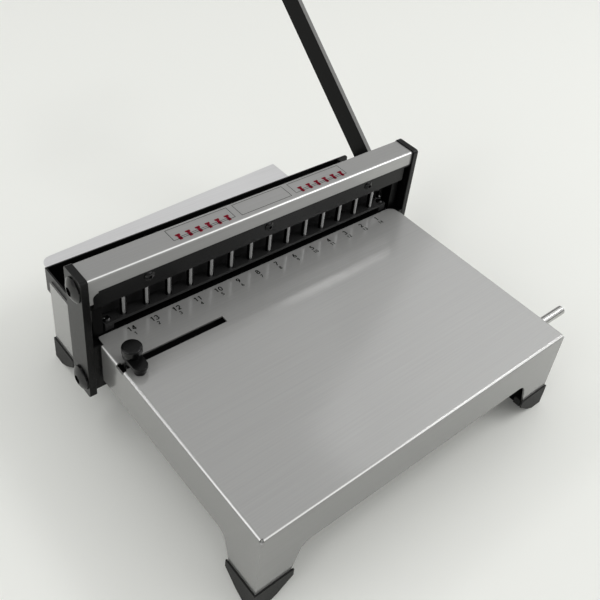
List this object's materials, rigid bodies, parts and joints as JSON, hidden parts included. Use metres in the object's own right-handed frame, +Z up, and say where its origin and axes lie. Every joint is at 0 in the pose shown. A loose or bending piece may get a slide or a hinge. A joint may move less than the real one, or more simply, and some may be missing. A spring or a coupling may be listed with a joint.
{
  "type": "binding punch",
  "caption": "Desk punch for comb binding: sheet-steel table, head with a row of round punches over a die, cranked shaft and side lever, side guide, pull-out rod and chip drawer.",
  "frame": {"origin": "middle of the part's box, on the floor under the feet", "axes": "+X to the right along the punch row, towards the lever's grip; +Y from the table's front edge to the head; +Z up"},
  "size_m": [0.5026, 0.4913, 0.2665],
  "materials": {
    "stainless_sheet": "fine brushed, satin",
    "black_paint": "semi-gloss black",
    "black_screws": "black oxide",
    "black_rubber": "matt",
    "tool_steel": "blackened steel",
    "bright_steel": "ground",
    "bronze": "turned",
    "tray_sheet": "plain zinc grey",
    "black_knob": "moulded"
  },
  "bodies": {
    "base": {"table": "stainless_sheet", "rear_base": "stainless_sheet", "foot_front_left": "black_rubber", "foot_front_right": "black_rubber", "foot_rear_left": "black_rubber", "foot_rear_right": "black_rubber", "left_end_plate": "black_paint", "right_end_plate": "black_paint", "tie_bar": "black_paint", "tie_bar_screws": "black_screws", "head_cover": "stainless_sheet", "die_bar": "tool_steel", "guide_bar": "tool_steel", "guide_bar_screws": "black_screws", "front_apron": "black_paint", "apron_screws": "black_screws", "left_bush": "bronze", "right_bush": "bronze", "rear_trough": "black_paint", "trough_back": "black_paint", "trough_screws": "black_screws", "rear_shelf": "stainless_sheet", "shelf_rivets": "bright_steel", "tray_runners": "black_paint", "guide_channel": "black_paint", "rod_bracket": "black_paint"},
    "lever": {"crankshaft": "bright_steel", "shaft_end_screw": "black_screws", "lever_washer": "bright_steel", "lever_arm": "black_paint", "lever_screw": "black_screws", "grip_rod": "bright_steel", "hand_grip": "black_rubber"},
    "ram": {"ram_bar": "tool_steel", "punch_pins": "bright_steel", "clamp_strip": "black_paint", "clamp_strip_screws": "black_screws", "draw_bar_left": "tool_steel", "draw_bar_right": "tool_steel", "draw_bar_screws": "black_screws"},
    "side_guide": {"side_guide_arm": "black_paint", "side_guide_post": "black_paint", "side_guide_spacer": "black_paint", "side_guide_stud": "bright_steel"},
    "knob": {"side_guide_knob": "black_knob"},
    "rod": {"support_rod": "bright_steel", "rod_collar": "black_paint"},
    "tray": {"chip_tray": "tray_sheet"}
  },
  "joints": [
    {"name": "lever_pull", "type": "hinge", "parent": "base", "child": "lever", "pos_m": [-0.06005, -0.00965, 0.05], "axis": [1, 0, 0], "range_deg": [0, 100]},
    {"name": "ram_slide", "type": "slide", "parent": "base", "child": "ram", "axis": [0, 0, -1], "range_m": [0, 0.00996]},
    {"name": "side_guide_slide", "type": "slide", "parent": "base", "child": "side_guide", "axis": [1, 0, 0], "range_m": [0, 0.085]},
    {"name": "knob_turn", "type": "hinge", "parent": "side_guide", "child": "knob", "pos_m": [-0.22235, -0.05425, 0.108], "axis": [0, 0, 1], "range_deg": [0, 180]},
    {"name": "rod_pull", "type": "slide", "parent": "base", "child": "rod", "axis": [1, 0, 0], "range_m": [0, 0.08]},
    {"name": "tray_pull", "type": "slide", "parent": "base", "child": "tray", "axis": [0, 1, 0], "range_m": [0, 0.07]}
  ],
  "couplings": [
    {"joint": "ram_slide", "follows": "lever_pull", "m_per_rad": 0.0057058}
  ]
}
